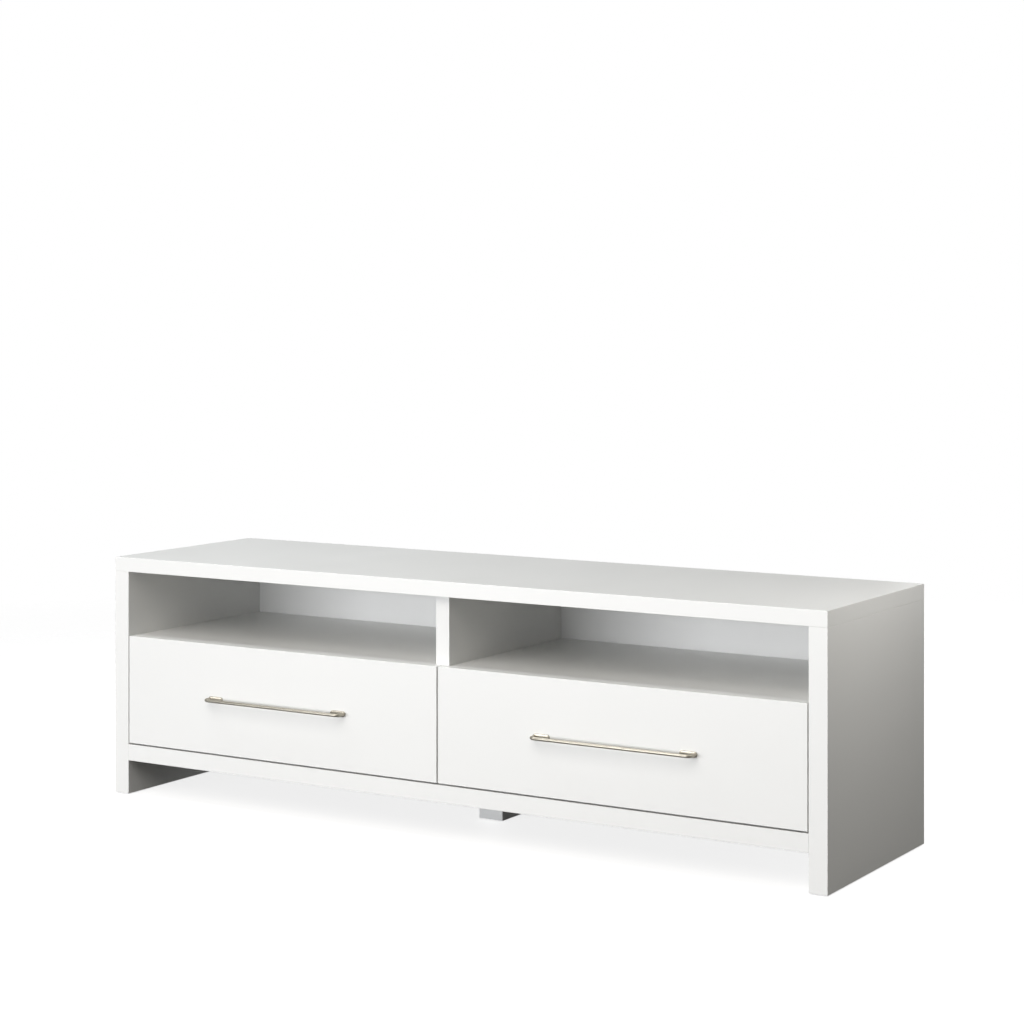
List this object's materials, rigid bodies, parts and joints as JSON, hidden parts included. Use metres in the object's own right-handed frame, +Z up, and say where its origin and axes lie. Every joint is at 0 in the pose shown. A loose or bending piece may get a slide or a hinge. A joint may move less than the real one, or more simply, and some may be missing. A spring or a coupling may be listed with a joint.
{
  "type": "tv stand with drawers",
  "caption": "Low white TV stand: slab top and sides, open media bays over wide drawers on ball bearing slides, bar handles, centre foot.",
  "frame": {"origin": "on the floor, at the middle of the whole object's width and depth, handles included", "axes": "+X to the right as seen from the front, +Y towards the back, +Z up"},
  "size_m": [1.485, 0.438, 0.455],
  "materials": {
    "white_laminate": "satin white laminate on particle board",
    "white_hardboard": "white faced hardboard",
    "foot_laminate": "satin white laminate",
    "satin_nickel": "brushed satin nickel",
    "zinc_steel": "bright zinc plated rolled steel",
    "zinc_screws": "bright zinc plated",
    "cast_zinc": "matt die cast zinc",
    "cage_steel": "zinc plated strip, lightly greased",
    "ball_steel": "polished steel balls",
    "beech": "raw beech",
    "glide_plastic": "matt moulded plastic",
    "clear_rubber": "translucent soft pads"
  },
  "bodies": {
    "carcass": {"top_panel": "white_laminate", "left_side_panel": "white_laminate", "right_side_panel": "white_laminate", "centre_divider": "white_laminate", "left_shelf": "white_laminate", "right_shelf": "white_laminate", "bottom_panel": "white_laminate", "front_rail": "white_laminate", "rear_rail": "white_laminate", "left_back_panel": "white_hardboard", "right_back_panel": "white_hardboard", "centre_foot": "foot_laminate", "floor_glides": "glide_plastic", "wood_dowels": "beech", "cam_locks": "cast_zinc", "cam_bolts": "zinc_screws", "panel_screws": "zinc_screws", "back_panel_screws": "zinc_screws", "drawer_bumpers": "clear_rubber", "left_drawer_left_cabinet_rail": "zinc_steel", "left_drawer_right_cabinet_rail": "zinc_steel", "right_drawer_left_cabinet_rail": "zinc_steel", "right_drawer_right_cabinet_rail": "zinc_steel", "cabinet_rail_screws": "zinc_screws"},
    "left_drawer": {"left_drawer_front": "white_laminate", "left_drawer_left_side": "white_laminate", "left_drawer_right_side": "white_laminate", "left_drawer_back": "white_laminate", "left_drawer_bottom": "white_hardboard", "left_drawer_handle": "satin_nickel", "left_drawer_handle_screws": "zinc_screws", "left_drawer_cam_locks": "cast_zinc", "left_drawer_cam_bolts": "zinc_screws", "left_drawer_box_screws": "zinc_screws", "left_drawer_left_slide_rail": "zinc_steel", "left_drawer_right_slide_rail": "zinc_steel", "left_drawer_slide_screws": "zinc_screws"},
    "left_middle_rails": {"left_drawer_middle_rails": "zinc_steel"},
    "left_outer_ball_cages": {"left_drawer_outer_ball_cages": "cage_steel", "left_drawer_outer_balls": "ball_steel"},
    "left_inner_ball_cages": {"left_drawer_inner_ball_cages": "cage_steel", "left_drawer_inner_balls": "ball_steel"},
    "right_drawer": {"right_drawer_front": "white_laminate", "right_drawer_left_side": "white_laminate", "right_drawer_right_side": "white_laminate", "right_drawer_back": "white_laminate", "right_drawer_bottom": "white_hardboard", "right_drawer_handle": "satin_nickel", "right_drawer_handle_screws": "zinc_screws", "right_drawer_cam_locks": "cast_zinc", "right_drawer_cam_bolts": "zinc_screws", "right_drawer_box_screws": "zinc_screws", "right_drawer_left_slide_rail": "zinc_steel", "right_drawer_right_slide_rail": "zinc_steel", "right_drawer_slide_screws": "zinc_screws"},
    "right_middle_rails": {"right_drawer_middle_rails": "zinc_steel"},
    "right_outer_ball_cages": {"right_drawer_outer_ball_cages": "cage_steel", "right_drawer_outer_balls": "ball_steel"},
    "right_inner_ball_cages": {"right_drawer_inner_ball_cages": "cage_steel", "right_drawer_inner_balls": "ball_steel"}
  },
  "joints": [
    {"name": "left_drawer_slide", "type": "slide", "parent": "carcass", "child": "left_drawer", "axis": [0, -1, 0], "range_m": [0, 0.35]},
    {"name": "left_middle_rails_slide", "type": "slide", "parent": "carcass", "child": "left_middle_rails", "axis": [0, -1, 0], "range_m": [0, 0.175]},
    {"name": "left_outer_ball_cages_slide", "type": "slide", "parent": "carcass", "child": "left_outer_ball_cages", "axis": [0, -1, 0], "range_m": [0, 0.0875]},
    {"name": "left_inner_ball_cages_slide", "type": "slide", "parent": "carcass", "child": "left_inner_ball_cages", "axis": [0, -1, 0], "range_m": [0, 0.2625]},
    {"name": "right_drawer_slide", "type": "slide", "parent": "carcass", "child": "right_drawer", "axis": [0, -1, 0], "range_m": [0, 0.35]},
    {"name": "right_middle_rails_slide", "type": "slide", "parent": "carcass", "child": "right_middle_rails", "axis": [0, -1, 0], "range_m": [0, 0.175]},
    {"name": "right_outer_ball_cages_slide", "type": "slide", "parent": "carcass", "child": "right_outer_ball_cages", "axis": [0, -1, 0], "range_m": [0, 0.0875]},
    {"name": "right_inner_ball_cages_slide", "type": "slide", "parent": "carcass", "child": "right_inner_ball_cages", "axis": [0, -1, 0], "range_m": [0, 0.2625]}
  ],
  "couplings": [
    {"joint": "left_middle_rails_slide", "follows": "left_drawer_slide", "ratio": 0.5},
    {"joint": "left_outer_ball_cages_slide", "follows": "left_drawer_slide", "ratio": 0.25},
    {"joint": "left_inner_ball_cages_slide", "follows": "left_drawer_slide", "ratio": 0.75},
    {"joint": "right_middle_rails_slide", "follows": "right_drawer_slide", "ratio": 0.5},
    {"joint": "right_outer_ball_cages_slide", "follows": "right_drawer_slide", "ratio": 0.25},
    {"joint": "right_inner_ball_cages_slide", "follows": "right_drawer_slide", "ratio": 0.75}
  ]
}
